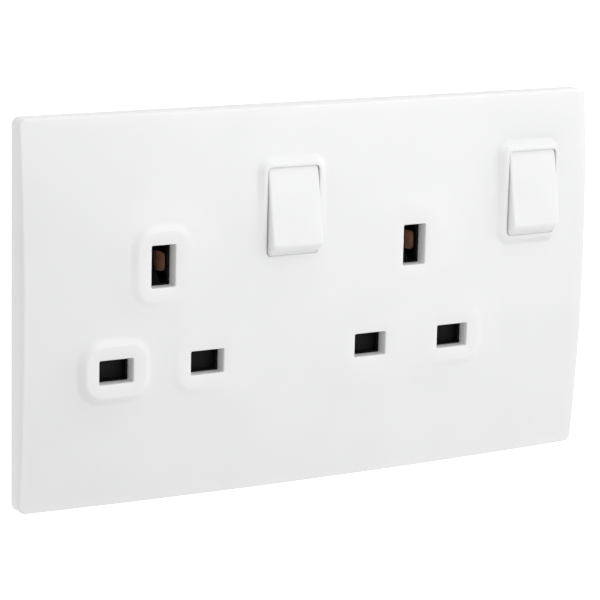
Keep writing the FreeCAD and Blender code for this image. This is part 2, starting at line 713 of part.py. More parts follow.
def rocker(side):
    """One rocker: a hollow cap with two pivots and a block that guides the two plungers."""
    half = ROCKER_HALF_WIDTH
    cap = drum_sector(ROCKER_RADIUS, ROCKER_FACE, ROCKER_SKIRT, half)
    arcs = [e for e in cap.Edges if e.Curve.TypeId == "Part::GeomCircle"]
    cap = cap.makeChamfer(ROCKER_CORNER, arcs)
    hollow_front = ROCKER_FACE - ROCKER_WALL
    inner_half = half - ROCKER_WALL
    hollow = drum_sector(ROCKER_RADIUS - ROCKER_WALL, hollow_front, ROCKER_SKIRT - 1, inner_half)
    cap = cap.cut(hollow)
    bore, bore_half = PLUNGER_HALF + PLUNGER_CLEARANCE, PLUNGER_HALF_WIDTH + PLUNGER_CLEARANCE
    block_reach = bore + PLUNGER_BLOCK_WALL
    block_half = POLE_OFFSET + bore_half + PLUNGER_BLOCK_WALL
    added = [box(-block_half, block_half, -hollow_front - JOIN, PLUNGER_BLOCK_END, -block_reach, block_reach)]
    lobe = TRUNNION_LOBE
    for sign in (-1, 1):
        inner, face = sorted((sign * inner_half, sign * half))
        added.append(box(inner, face, -ROCKER_SKIRT - JOIN, lobe, -lobe, lobe))
        added.append(rod(TRUNNION_RADIUS, vec(sign * half, 0, 0), vec(sign * (half + TRUNNION_LENGTH), 0, 0)))
    cap = cap.multiFuse(added)
    for sign in (-1, 1):
        x = sign * POLE_OFFSET
        cap = cap.cut(box(x - bore_half, x + bore_half, -hollow_front, PLUNGER_BLOCK_END + 1, -bore, bore))
    save(f"{side}_rocker", placed_in_rocker(cap, side))


def plungers(side):
    """The two sprung pins of one rocker, square with a rounded tip, and their springs."""
    top = PLUNGER_REACH - PLUNGER_LENGTH
    half, wide = PLUNGER_HALF, PLUNGER_HALF_WIDTH
    spring_start = -(ROCKER_FACE - ROCKER_WALL)
    spring_radius = wide - PLUNGER_SPRING_WIRE / 2 - PLUNGER_CLEARANCE
    for pole, sign in (("line", -1), ("neutral", 1)):
        x = sign * POLE_OFFSET
        tip = rod(half, vec(x - wide, PLUNGER_REACH, 0), vec(x + wide, PLUNGER_REACH, 0))
        pin = tip.fuse(box(x - wide, x + wide, top, PLUNGER_REACH, -half, half))
        save(f"{side}_{pole}_plunger", placed_in_rocker(pin, side))
        spring = coil(spring_radius, PLUNGER_SPRING_WIRE, PLUNGER_SPRING_TURNS, top - spring_start)
        spring.rotate(vec(0, 0, 0), ALONG_X, -90)
        spring.translate(vec(x, spring_start, 0))
        NODES[f"{side}_{pole}_plunger_spring"] = placed_in_rocker(spring, side)


def contact_track_radius():
    """Radius of the trough that the plunger's tip follows while both parts turn."""
    ratio, reach, offset = CONTACT_RATIO, PLUNGER_REACH, CONTACT_AXIS_OFFSET
    bend = reach / 2 + reach * ratio - offset * ratio**2 / 2
    travel = reach - offset * ratio
    return travel**2 / (2 * bend) + PLUNGER_HALF + TRACK_CLEARANCE


def moving_contact(side, pole, sign):
    """A strip bent to a trough in the middle, notched for the post's horns, with a rivet on its long arm."""
    radius = contact_track_radius()
    back_radius = radius + CONTACT_THICKNESS
    centre = -back_radius
    drop = radius - math.sqrt(radius**2 - TROUGH_HALF**2)
    arm_front = -CONTACT_THICKNESS - drop
    back_half = TROUGH_HALF * back_radius / radius
    arm_back = centre + math.sqrt(back_radius**2 - back_half**2)
    half = CONTACT_WIDTH / 2
    front_arc = Part.Arc(
        vec(-half, arm_front, -TROUGH_HALF),
        vec(-half, -CONTACT_THICKNESS, 0),
        vec(-half, arm_front, TROUGH_HALF),
    )
    back_arc = Part.Arc(
        vec(-half, arm_back, back_half), vec(-half, 0, 0), vec(-half, arm_back, -back_half)
    )
    edges = [
        front_arc.toShape(),
        Part.makeLine(vec(-half, arm_front, TROUGH_HALF), vec(-half, arm_front, LONG_ARM)),
        Part.makeLine(vec(-half, arm_front, LONG_ARM), vec(-half, arm_back, LONG_ARM)),
        Part.makeLine(vec(-half, arm_back, LONG_ARM), vec(-half, arm_back, back_half)),
        back_arc.toShape(),
        Part.makeLine(vec(-half, arm_back, -back_half), vec(-half, arm_back, -SHORT_ARM)),
        Part.makeLine(vec(-half, arm_back, -SHORT_ARM), vec(-half, arm_front, -SHORT_ARM)),
        Part.makeLine(vec(-half, arm_front, -SHORT_ARM), vec(-half, arm_front, -TROUGH_HALF)),
    ]
    strip = Part.Face(Part.Wire(edges)).extrude(vec(CONTACT_WIDTH, 0, 0))
    rivet_end = arm_back + RIVET_HEIGHT
    strip = strip.fuse(prism(RIVET_RADIUS, 0, CONTACT_POINT, arm_back, rivet_end))
    notch = half - (POST_WIDTH / 2 + HORN_WIDTH / 2 - HORN_WIDTH) + HORN_CLEARANCE
    notch_half = POST_THICKNESS / 2 + HORN_PLAY
    for edge in (-1, 1):
        low_x, high_x = sorted((edge * (half - notch), edge * (half + 1)))
        strip = strip.cut(box(low_x, high_x, -3, 1, -notch_half, notch_half))
    strip.rotate(vec(0, 0, 0), ALONG_X, CONTACT_TILT)
    strip.translate(vec(SWITCH_X[side] + sign * POLE_OFFSET, CONTACT_AXIS, SWITCH_Z))
    save(f"{side}_{pole}_moving_contact", strip)


def closed_contact_face():
    """Depth and height of the rivet's face when the moving contact is closed."""
    radius = contact_track_radius()
    back_radius = radius + CONTACT_THICKNESS
    back_half = TROUGH_HALF * back_radius / radius
    face = -back_radius + math.sqrt(back_radius**2 - back_half**2) + RIVET_HEIGHT
    angle = math.radians(CONTACT_TILT)
    depth = CONTACT_AXIS + face * math.cos(angle) + (CONTACT_POINT + RIVET_RADIUS) * math.sin(angle)
    return depth


FIXED_RIVET_FACE = closed_contact_face() + CLOSED_GAP
TAIL_FACE = FIXED_RIVET_FACE + RIVET_HEIGHT


def post(x, z_from, z_to):
    """An upright leg of a busbar, with horns that keep the moving contact in place."""
    half = POST_WIDTH / 2
    low, high = SWITCH_Z - POST_THICKNESS / 2, SWITCH_Z + POST_THICKNESS / 2
    top = CONTACT_AXIS + POST_GAP
    leg = box(x - half, x + half, top, BUS_FACE + STRIP_THICKNESS, low, high)
    foot = box(x - half, x + half, BUS_FACE, BUS_FACE + STRIP_THICKNESS, min(z_from, low), max(z_to, high))
    parts = [foot]
    for sign in (-1, 1):
        inner, outer = sorted((sign * (half - HORN_WIDTH / 2), sign * (half + HORN_WIDTH / 2)))
        parts.append(box(x + inner, x + outer, top - HORN_RISE, top + HORN_ROOT, low, high))
    return leg.multiFuse(parts)


def busbars():
    """The supply strips, each with a post under two moving contacts and a tail to its terminal."""
    for name, sign, bus_z, feed_x in (
        ("line_busbar", -1, LINE_BUS_Z, LINE_TERMINAL_X),
        ("neutral_busbar", 1, NEUTRAL_BUS_Z, NEUTRAL_TERMINAL_X),
    ):
        poles = [SWITCH_X[side] + sign * POLE_OFFSET for side in SIDES]
        reach = POST_WIDTH / 2
        start = min(poles[0] - reach, feed_x - BUSBAR_WIDTH / 2)
        bar = flat_strip([(start, bus_z), (poles[1] + reach, bus_z)], BUSBAR_WIDTH, BUS_FACE, STRIP_THICKNESS)
        feed = flat_strip([(feed_x, bus_z), (feed_x, TERMINAL_Z)], BUSBAR_WIDTH, BUS_FACE, STRIP_THICKNESS)
        pad = terminal_pad(feed_x)
        legs = [post(x, min(bus_z, SWITCH_Z), max(bus_z, SWITCH_Z)) for x in poles]
        bar = bar.multiFuse([feed, pad] + legs)
        save(name, bar.cut(terminal_screw_hole(feed_x)))


def terminal_pad(x):
    """The widened end of a strip, under its terminal."""
    half = TERMINAL_HEIGHT / 2
    return box(x - half, x + half, BUS_FACE, FLOOR, TERMINAL_Z - half, TERMINAL_Z + half)


def terminal_screw_hole(x):
    """The hole in a strip that its terminal screw passes through."""
    return prism(TERMINAL_SCREW_RADIUS + SCREW_CLEARANCE, x, TERMINAL_Z, BUS_FACE - 1, FLOOR + 1)


def earth_bar():
    """The strip that joins both earth contacts, stepped back at each terminal."""
    face = EARTH_BAR_DEPTH
    ends = [OUTLET_X[side] for side in SIDES]
    reach = EARTH_CLIP_HEIGHT / 2
    bar = flat_strip(
        [(ends[0] - reach, EARTH_Z), (ends[1] + reach, EARTH_Z)], EARTH_CLIP_HEIGHT, face, STRIP_THICKNESS
    )
    step_z = TERMINAL_Z + TERMINAL_HEIGHT / 2 + EARTH_STEP_GAP
    half = BUSBAR_WIDTH / 2
    added = []
    for x in ends:
        added.append(flat_strip([(x, EARTH_Z), (x, step_z + half)], BUSBAR_WIDTH, face, STRIP_THICKNESS))
        added.append(box(x - half, x + half, face, FLOOR, step_z, step_z + STRIP_THICKNESS))
        added.append(box(x - half, x + half, BUS_FACE, FLOOR, TERMINAL_Z, step_z + STRIP_THICKNESS))
        added.append(terminal_pad(x))
    bar = bar.multiFuse(added)
    for x in ends:
        bar = bar.cut(terminal_screw_hole(x))
    save("earth_bar", bar)


def side_contact(side, pole):
    """A clip for a line or neutral pin, with its tail and the switch's fixed contact."""
    sign = {"line": 1, "neutral": -1}[pole]
    x = OUTLET_X[side] + sign * PIN_SPACING / 2
    pinch = PIN_THICKNESS / 2 - CLIP_PINCH
    belly = PIN_THICKNESS / 2 + CLIP_BELLY
    inner = [
        (SIDE_CLIP_FRONT, SIDE_CLIP_MOUTH),
        (CLIP_PINCH_DEPTH, pinch),
        (CLIP_BELLY_DEPTH, belly),
        (TAIL_FACE + JOIN, belly),
    ]
    pieces = []
    for up in (-1, 1):
        outline = [(y, LINE_Z + up * z) for y, z in inner]
        outline += [(y, LINE_Z + up * (z + CLIP_THICKNESS)) for y, z in reversed(inner)]
        pieces.append(side_profile(outline, x - SIDE_CLIP_WIDTH / 2, x + SIDE_CLIP_WIDTH / 2))
    half = belly + CLIP_THICKNESS
    back = TAIL_FACE + STRIP_THICKNESS
    web = box(x - SIDE_CLIP_WIDTH / 2, x + SIDE_CLIP_WIDTH / 2, TAIL_FACE, back, LINE_Z - half, LINE_Z + half)
    pole_x = SWITCH_X[side] + {"line": -1, "neutral": 1}[pole] * POLE_OFFSET
    top = SWITCH_Z + CONTACT_POINT
    if pole == "line":
        run_x = pole_x - TAIL_GAP
        route = [(x, LINE_Z), (run_x, LINE_Z), (run_x, top), (pole_x, top)]
    elif side == "left":
        run_x = pole_x + TAIL_GAP
        route = [(x, LINE_Z), (x, NEUTRAL_TAIL_Z), (run_x, NEUTRAL_TAIL_Z), (run_x, top), (pole_x, top)]
    else:
        run_x = HOUSING_WAIST - HOUSING_WALL - TAIL_WIDTH / 2 - TAIL_WALL_GAP
        far_x = HOUSING_RIGHT - HOUSING_WALL - TAIL_WIDTH / 2 - 0.2
        cross_z = LUG_NOTCH_TOP + HOUSING_WALL + TAIL_WIDTH / 2 + 0.2
        route = [(x, LINE_Z), (x, NEUTRAL_TAIL_Z), (run_x, NEUTRAL_TAIL_Z), (run_x, cross_z)]
        route += [(far_x, cross_z), (far_x, top), (pole_x, top)]
    pieces.append(flat_strip(route, TAIL_WIDTH, TAIL_FACE, STRIP_THICKNESS))
    pieces.append(prism(RIVET_RADIUS, pole_x, top, FIXED_RIVET_FACE, TAIL_FACE + JOIN))
    pieces.append(prism(RIVET_RADIUS + RIVET_SEAT, pole_x, top, TAIL_FACE, TAIL_FACE + STRIP_THICKNESS))
    save(f"{side}_{pole}_contact", web.multiFuse(pieces))


def earth_contact(side):
    """A two-leaf clip for the earth pin, flared and rounded at its mouth."""
    x = OUTLET_X[side]
    pinch = PIN_THICKNESS / 2 - EARTH_CLIP_PINCH
    belly = PIN_THICKNESS / 2 + EARTH_CLIP_BELLY
    web_face = EARTH_BAR_DEPTH - STRIP_THICKNESS
    inner = [
        (EARTH_CLIP_MOUTH, EARTH_CLIP_FRONT),
        (pinch, EARTH_CLIP_FRONT + EARTH_CLIP_FLARE),
        (pinch, EARTH_CLIP_STRAIGHT_END),
        (belly, EARTH_CLIP_NECK_DEPTH),
        (belly, web_face + JOIN),
    ]
    low, high = EARTH_Z - EARTH_CLIP_HEIGHT / 2, EARTH_Z + EARTH_CLIP_HEIGHT / 2
    pieces = []
    for sign in (-1, 1):
        outline = [(x + sign * a, y) for a, y in inner]
        outline += [(x + sign * (a + CLIP_THICKNESS), y) for a, y in reversed(inner)]
        pieces.append(plan_profile(outline, low, high))
    half = belly + CLIP_THICKNESS
    web = box(x - half, x + half, web_face, EARTH_BAR_DEPTH, low, high)
    clip = web.multiFuse(pieces)
    rounded = Part.makeBox(8, EARTH_BAR_DEPTH + 6, high - low, vec(x - 4, EARTH_CLIP_FRONT, low))
    mouth = [
        e
        for e in rounded.Edges
        if abs(e.BoundBox.YMax - EARTH_CLIP_FRONT) < 0.001 and e.BoundBox.XLength > 7
    ]
    rounded = rounded.makeFillet(EARTH_CLIP_ROUND, mouth)
    save(f"{side}_earth_contact", clip.common(rounded))


def spring_peg(x, z, way):
    """A short square peg inside one end of a shutter's spring, rooted in the plane z."""
    half = SPIGOT_WIDTH / 2
    low, high = sorted((z - way * JOIN, z + way * SPIGOT_LENGTH))
    return box(x - half, x + half, SPRING_AXIS_DEPTH - half, SPRING_AXIS_DEPTH + half, low, high)


def shutter(side):
    """One shutter: two lobes over the lower apertures and a ramp behind the earth aperture."""
    x = OUTLET_X[side]
    lobe_half = INNER_SIDE_APERTURE[0] / 2 + SHUTTER_OVERLAP
    far = PIN_SPACING / 2 + lobe_half
    front, back = SHUTTER_FACE, SHUTTER_BACK
    bar = box(x - far, x + far, front, back, SHUTTER_BOTTOM, LOBE_BOTTOM)
    pieces = []
    for sign in (-1, 1):
        centre = x + sign * PIN_SPACING / 2
        pieces.append(box(centre - lobe_half, centre + lobe_half, front, back, LOBE_BOTTOM, LOBE_TOP))
    stem = SHUTTER_STEM_WIDTH / 2
    pieces.append(box(x - stem, x + stem, front, back, SHUTTER_BOTTOM, STEM_TOP))
    ramp = [
        (front, STEM_TOP - RAMP_ROOT),
        (front, RAMP_START),
        (front + SHUTTER_TRAVEL, RAMP_TOP),
        (front + SHUTTER_TRAVEL, RAMP_TOP - RAMP_END_HEIGHT),
        (back, STEM_TOP - RAMP_ROOT),
    ]
    pieces.append(side_profile(ramp, x - RAMP_WIDTH / 2, x + RAMP_WIDTH / 2))
    seat = SHUTTER_SPRING_RADIUS + SHUTTER_SPRING_WIRE
    pieces.append(box(x - seat, x + seat, front, front + SHUTTER_SEAT_DEPTH, SHUTTER_BOTTOM, LOBE_BOTTOM))
    pieces.append(spring_peg(x, SHUTTER_BOTTOM, -1))
    save(f"{side}_shutter", bar.multiFuse(pieces))
    length = SHUTTER_BOTTOM - SPRING_SEAT_Z
    spring = coil(SHUTTER_SPRING_RADIUS, SHUTTER_SPRING_WIRE, SHUTTER_SPRING_TURNS, length)
    spring.translate(vec(x, SPRING_AXIS_DEPTH, SPRING_SEAT_Z))
    NODES[f"{side}_shutter_spring"] = spring


def terminals():
    """Brass blocks with a tunnel for the cable's cores, and their clamping screws."""
    screws = []
    half_w, half_h = TERMINAL_WIDTH / 2, TERMINAL_HEIGHT / 2
    for name, x in TERMINAL_X.items():
        block = box(x - half_w, x + half_w, TERMINAL_FACE, BUS_FACE, TERMINAL_Z - half_h, TERMINAL_Z + half_h)
        tunnel = vec(x, TUNNEL_DEPTH, TERMINAL_Z - half_h - 1)
        block = block.cut(rod(TUNNEL_RADIUS, tunnel, tunnel + vec(0, 0, TERMINAL_HEIGHT + 2)))
        hole = prism(TERMINAL_SCREW_RADIUS + PILOT_CLEARANCE, x, TERMINAL_Z, TUNNEL_DEPTH, BUS_FACE + 1)
        save(name, block.cut(hole))
        head = REAR_DEPTH - TERMINAL_SCREW_HEIGHT
        tip = TUNNEL_DEPTH + TUNNEL_RADIUS + TERMINAL_SCREW_SPARE
        screw = prism(TERMINAL_SCREW_HEAD, x, TERMINAL_Z, head, REAR_DEPTH)
        screw = screw.fuse(prism(TERMINAL_SCREW_RADIUS, x, TERMINAL_Z, tip, head))
        slot = SCREW_SLOT / 2
        screw = screw.cut(
            box(x - 4, x + 4, REAR_DEPTH - SCREW_SLOT, REAR_DEPTH + 1, TERMINAL_Z - slot, TERMINAL_Z + slot)
        )
        screws.append(screw.removeSplitter())
    NODES["terminal_screws"] = Part.Compound(screws)


def main():
    """Build every piece and write one file for each."""
    cover_plate()
    mounting_frame()
    front_housing()
    rear_housing()
    rear_screws()
    busbars()
    earth_bar()
    terminals()
    for side in SIDES:
        rocker(side)
        plungers(side)
        for pole, sign in (("line", -1), ("neutral", 1)):
            moving_contact(side, pole, sign)
            side_contact(side, pole)
        earth_contact(side)
        shutter(side)
    os.makedirs("parts", exist_ok=True)
    for name, shape in NODES.items():
        shape.exportStep(f"parts/{name}.step")
        print(name, len(shape.Solids), shape.isValid(), round(shape.Volume, 2))


main()
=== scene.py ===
import json
import math
import bmesh
import bpy
from mathutils import Matrix, Vector
from mathutils.geometry import delaunay_2d_cdt


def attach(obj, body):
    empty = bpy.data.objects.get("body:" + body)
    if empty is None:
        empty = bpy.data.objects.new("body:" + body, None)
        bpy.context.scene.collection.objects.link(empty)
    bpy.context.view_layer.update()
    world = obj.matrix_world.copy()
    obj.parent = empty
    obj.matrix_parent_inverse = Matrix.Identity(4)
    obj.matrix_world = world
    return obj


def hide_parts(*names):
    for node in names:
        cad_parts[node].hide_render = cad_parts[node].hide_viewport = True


# A UK twin switched socket outlet, dressed round its CAD frame.
# Lengths below are in millimetres, as in the CAD, and turn into metres where a mesh is made.
MM = 0.001

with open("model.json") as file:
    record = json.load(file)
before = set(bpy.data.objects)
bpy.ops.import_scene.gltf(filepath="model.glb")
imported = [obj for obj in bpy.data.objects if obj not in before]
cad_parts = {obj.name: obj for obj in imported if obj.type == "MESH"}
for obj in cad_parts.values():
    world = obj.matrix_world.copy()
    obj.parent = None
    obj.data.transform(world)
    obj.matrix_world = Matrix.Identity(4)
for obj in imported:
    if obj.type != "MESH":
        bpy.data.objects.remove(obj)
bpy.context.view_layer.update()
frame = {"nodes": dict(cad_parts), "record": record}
NODES = frame["nodes"]

# Plate
PLATE_WIDTH, PLATE_HEIGHT = 146.0, 86.0
PLATE_CORNER = 1.7
EDGE_ROUND = 0.5
DOME_DEPTH = 9.1
RADIUS_ACROSS, RADIUS_UPRIGHT = 988.0, 386.0
RIM_WALL = 2.0
SKIN_WALL = 1.3
PAD_FACE = 9.0
PAD_MARGIN = 3.0
PAD_CORNER = 3.9
PAD_SIDE = (-0.3, 1.8)
SWELL = (-0.5, 9.0)
SWELL_HEIGHT = 0.6
HOUSING_FACE = -5.9
WELL_WALL = 1.2
LIP_ROUND = 0.2
FOOT_ROUND, FOOT_MIDDLE = 0.2, 0.06
LEAST_CORNER = 0.15
WELL_COVER = 0.35
PLATE_SMOOTH = 40
GRID_STEP, GRID_GAP, GRID_MARGIN = 3.0, 1.2, 1.6
SNAP_PLACES = (-45.0, 0.0, 45.0)
SNAP_LENGTH = 8.0
SNAP_PROFILE = ((-0.5, -0.5), (-0.5, 0.0), (-1.3, 0.55), (-1.7, 0.55), (-1.7, -0.5))

# How finely rounds and walls are divided
EDGE_STEPS, LIP_STEPS, WELL_STEPS = 5, 3, 4
SIDE_STEPS, HOLLOW_STEPS = 8, 6

# Distances from a pad's outline at which the front's mesh has a ring of points
PAD_RINGS = (
    -0.8, -0.35, -0.2, -0.1, 0.0, 0.1, 0.2, 0.35, 0.5, 0.7, 0.9, 1.1, 1.3, 1.5, 1.75,
    2.0, 2.3, 2.6, 3.0, 3.4, 3.9,
)

# Layout
OUTLET_X = {"left": -41.1, "right": 23.1}
SWITCH_X = {"left": -9.0, "right": 55.2}
SWITCH_Z = 20.0
EARTH_Z = 10.0
LINE_Z = -12.23
PIN_SPACING = 22.23
SIDE_APERTURE = (8.25, 5.4)
EARTH_APERTURE = (5.9, 9.4)
APERTURE_CORNER = 0.35

# Switch windows and rockers
PIVOT_Y = -3.0
WINDOW_WIDTH = 13.2
WINDOW_RADIUS = 11.55
WINDOW_CORNER = 1.1
COLLAR_RIM, COLLAR_RIM_ENDS = 1.35, 1.45
COLLAR_CORNER = 2.5
COLLAR_SIDE = (-0.9, 1.1)
ROCKER_HALF = 6.35
ROCKER_RADIUS = 11.45
ROCKER_FACE = 7.25
ROCKER_SKIRT = 2.5
ROCKER_WALL = 1.25
ROCKER_CORNER = 1.0
ROCKER_EDGE = 0.4
ROCKER_TILT = 10.5
ROCKER_HOLLOW_CORNER = 0.5
POLE_OFFSET = 3.4
BLOCK_HALF, BLOCK_REACH, BLOCK_END = 5.5, 2.3, 5.0
BORE_HALF, BORE_REACH, BORE_FLOOR = 1.4, 1.6, 0.01
TRUNNION_RADIUS, TRUNNION_LENGTH, TRUNNION_SIDES = 1.45, 1.5, 32
LOBE_HALF, LOBE_CUT = 1.9, 0.9
SUNK = 0.2

# Screws seen from behind, their outlines as (radius, depth) from tip to head
SCREW_PLACES = ((-54.0, 28.4), (24.0, 29.0), (-54.0, -28.4), (49.6, -28.4))
SCREW_OUTLINE = (
    (1.25, -2.75), (1.4, -2.5), (1.4, 20.28), (2.45, 20.32), (2.55, 20.42), (2.55, 21.1),
    (2.35, 21.45), (1.9, 21.7), (1.2, 21.84), (0.4, 21.88),
)
SCREW_SPIN, SCREW_SPIN_STEP = 20, 35
TERMINAL_X = (4.5, -20.0, -41.1, 23.1)
TERMINAL_Z = -26.8
TERMINAL_OUTLINE = (
    (1.35, 15.35), (1.65, 15.65), (1.65, 20.42), (2.3, 20.42), (2.42, 20.55), (2.42, 21.6),
    (2.3, 21.8), (2.0, 21.95), (1.2, 21.98),
)
TERMINAL_SPIN, TERMINAL_SPIN_STEP = 12, 50
SCREW_SIDES = 40

# The cross recess as (depth, reach, half width) at its floor and above the head, and the slot likewise
CROSS = ((20.9, 0.8, 0.22), (22.3, 1.75, 0.36))
SLOT = ((21.1, 3.2, 0.4), (22.6, 3.2, 0.4))
SHARP_EDGE = 35

# Camera, fitted to the plate's corners and openings in the photograph
EYE = (-298.23, -502.04, 120.07)
TARGET = (-1.56, 0.0, -2.5)
ROLL = 1.35
LENS, SENSOR = 157.6, 36.0

# Light: the strength of the white surroundings, and each lamp's name, place and size in metres, and watts
AMBIENT = 0.73
LIGHTS = (
    ("key", (0.75, -0.32, 0.3), 0.5, 1.1),
    ("front panel", (0.04, -0.17, 0.085), 0.14, 0.074),
    ("top light", (0.05, -0.25, 0.85), 0.5, 1.0),
)
FLOOR_HALF, FLOOR_LEVEL = 6.0, -0.25
FLOOR_SHADE, FLOOR_GLOW = 0.9, 0.72


def dome_depth(x, z):
    """Depth of the plate's plain domed front."""
    fall = RADIUS_UPRIGHT - math.sqrt(RADIUS_UPRIGHT**2 - z * z)
    return RADIUS_ACROSS - DOME_DEPTH - math.sqrt((RADIUS_ACROSS - fall) ** 2 - x * x)


def rounded_rectangle(x, z, width, height, corner, arc=8, along_w=8, along_h=8):
    """Points anticlockwise round a rounded rectangle, the same number in every ring of one kind."""
    half_w, half_h = width / 2 - corner, height / 2 - corner
    points = []
    spots = ((1, 1), (-1, 1), (-1, -1), (1, -1))
    for turn, (sx, sz) in enumerate(spots):
        for step in range(arc + 1):
            angle = math.radians(90 * turn + 90 * step / arc)
            across, up = corner * math.cos(angle), corner * math.sin(angle)
            points.append((x + sx * half_w + across, z + sz * half_h + up))
        nx, nz = spots[(turn + 1) % 4]
        after = math.radians(90 * (turn + 1))
        goal = (x + nx * half_w + corner * math.cos(after), z + nz * half_h + corner * math.sin(after))
        start = points[-1]
        count = along_w if turn % 2 == 0 else along_h
        for step in range(1, count):
            t = step / count
            points.append((start[0] + (goal[0] - start[0]) * t, start[1] + (goal[1] - start[1]) * t))
    return points


def distance_outside(px, pz, x, z, width, height, corner):
    """Signed distance from a rounded rectangle, positive outside."""
    dx = abs(px - x) - (width / 2 - corner)
    dz = abs(pz - z) - (height / 2 - corner)
    return math.hypot(max(dx, 0), max(dz, 0)) + min(max(dx, dz), 0) - corner


def window_half(depth):
    """Half height of a switch window, whose ends follow the rocker's round, at a depth."""
    return math.sqrt(WINDOW_RADIUS**2 - (depth - PIVOT_Y) ** 2)


# Every raised pad or collar: middle, size, corner and the size of its opening
PADS = []
for side_name in ("left", "right"):
    outlet = OUTLET_X[side_name]
    for px, pz, (w, h) in (
        (outlet - PIN_SPACING / 2, LINE_Z, SIDE_APERTURE),
        (outlet + PIN_SPACING / 2, LINE_Z, SIDE_APERTURE),
        (outlet, EARTH_Z, EARTH_APERTURE),
    ):
        PADS.append(
            {
                "at": (px, pz),
                "size": (w + 2 * PAD_MARGIN, h + 2 * PAD_MARGIN),
                "corner": PAD_CORNER,
                "hole": (w, h, APERTURE_CORNER),
                "window": False,
            }
        )
    window_height = 2 * window_half(-PAD_FACE)
    PADS.append(
        {
            "at": (SWITCH_X[side_name], SWITCH_Z),
            "size": (WINDOW_WIDTH + 2 * COLLAR_RIM, window_height + 2 * COLLAR_RIM_ENDS),
            "corner": COLLAR_CORNER,
            "hole": (WINDOW_WIDTH, window_height, WINDOW_CORNER),
            "window": True,
        }
    )


def ease(value, start, end):
    """A smooth step from 0 at the start to 1 at the end."""
    t = min(max((value - start) / (end - start), 0.0), 1.0)
    return t * t * (3 - 2 * t)


def front_depth(x, z):
    """Depth of the finished front: the dome swells softly up to every pad, and a short side does the rest."""
    height = dome_depth(x, z) + PAD_FACE
    near = far = collar = 1.0
    for pad in PADS:
        out = distance_outside(x, z, *pad["at"], *pad["size"], pad["corner"])
        if pad["window"]:
            collar *= ease(out, *COLLAR_SIDE)
        else:
            near *= ease(out, *PAD_SIDE)
            far *= ease(out, *SWELL)
    swell = min(height, SWELL_HEIGHT)
    return -PAD_FACE + (swell * far + (height - swell) * near) * collar


class Shell:
    """A mesh built from rings of points that are bridged, capped or filled."""

    def __init__(self):
        self.points = []
        self.faces = []

    def ring(self, points):
        """Add points and give their numbers."""
        start = len(self.points)
        self.points += [Vector(p) for p in points]
        return list(range(start, len(self.points)))

    def bridge(self, a, b):
        """Quads between two rings of the same length."""
        n = len(a)
        for i in range(n):
            j = (i + 1) % n
            self.faces.append((a[i], a[j], b[j], b[i]))

    def cap(self, ring, flip=False):
        """One face across a ring."""
        self.faces.append(tuple(reversed(ring)) if flip else tuple(ring))

    def fill(self, outer, holes, extra, depth, flip=False):
        """Triangles between rings that lie on one surface, given as its depth at (x, z)."""
        loops = [outer] + holes
        index = [i for loop in loops for i in loop]
        flat = [Vector((self.points[i].x, self.points[i].z)) for i in index]
        edges, start = [], 0
        for loop in loops:
            n = len(loop)
            edges += [(start + i, start + (i + 1) % n) for i in range(n)]
            start += n
        flat += [Vector(p) for p in extra]
        verts, _, faces, origin, _, _ = delaunay_2d_cdt(flat, edges, [], 0, 1e-6)
        where = []
        for vert, sources in zip(verts, origin):
            known = [s for s in sources if s < len(index)]
            if known:
                where.append(index[known[0]])
            else:
                self.points.append(Vector((vert.x, depth(vert.x, vert.y), vert.y)))
                where.append(len(self.points) - 1)
        hole_shapes = [[(self.points[i].x, self.points[i].z) for i in hole] for hole in holes]
        shape = [(self.points[i].x, self.points[i].z) for i in outer]
        for face in faces:
            cx = sum(verts[i].x for i in face) / len(face)
            cz = sum(verts[i].y for i in face) / len(face)
            if not inside(shape, cx, cz) or any(inside(h, cx, cz) for h in hole_shapes):
                continue
            ids = [where[i] for i in face]
            self.faces.append(tuple(reversed(ids)) if flip else tuple(ids))

    def build(self, name, smooth):
        """The mesh as an object in the scene, with edges sharper than an angle kept sharp."""
        mesh = bpy.data.meshes.new(name)
        mesh.from_pydata([p * MM for p in self.points], [], self.faces)
        work = bmesh.new()
        work.from_mesh(mesh)
        bmesh.ops.remove_doubles(work, verts=work.verts, dist=1e-8)
        bmesh.ops.recalc_face_normals(work, faces=work.faces)
        work.to_mesh(mesh)
        work.free()
        mesh.update()
        piece = bpy.data.objects.new(name, mesh)
        bpy.context.scene.collection.objects.link(piece)
        shade(piece, smooth)
        return piece


def inside(polygon, x, z):
    """Whether a point lies in a polygon."""
    found = False
    for (x0, z0), (x1, z1) in zip(polygon, polygon[1:] + polygon[:1]):
        if (z0 > z) != (z1 > z) and x < (x1 - x0) * (z - z0) / (z1 - z0) + x0:
            found = not found
    return found


def shade(piece, angle):
    """Smooth shading with edges sharper than the angle kept sharp."""
    mesh = piece.data
    mesh.polygons.foreach_set("use_smooth", [True] * len(mesh.polygons))
    mesh.set_sharp_from_angle(angle=math.radians(angle))


def plate_outline(inset):
    """The plate's outline, moved inwards."""
    size = (PLATE_WIDTH - 2 * inset, PLATE_HEIGHT - 2 * inset)
    corner = max(PLATE_CORNER - inset, LEAST_CORNER)
    return rounded_rectangle(0, 0, *size, corner, along_w=48, along_h=28)


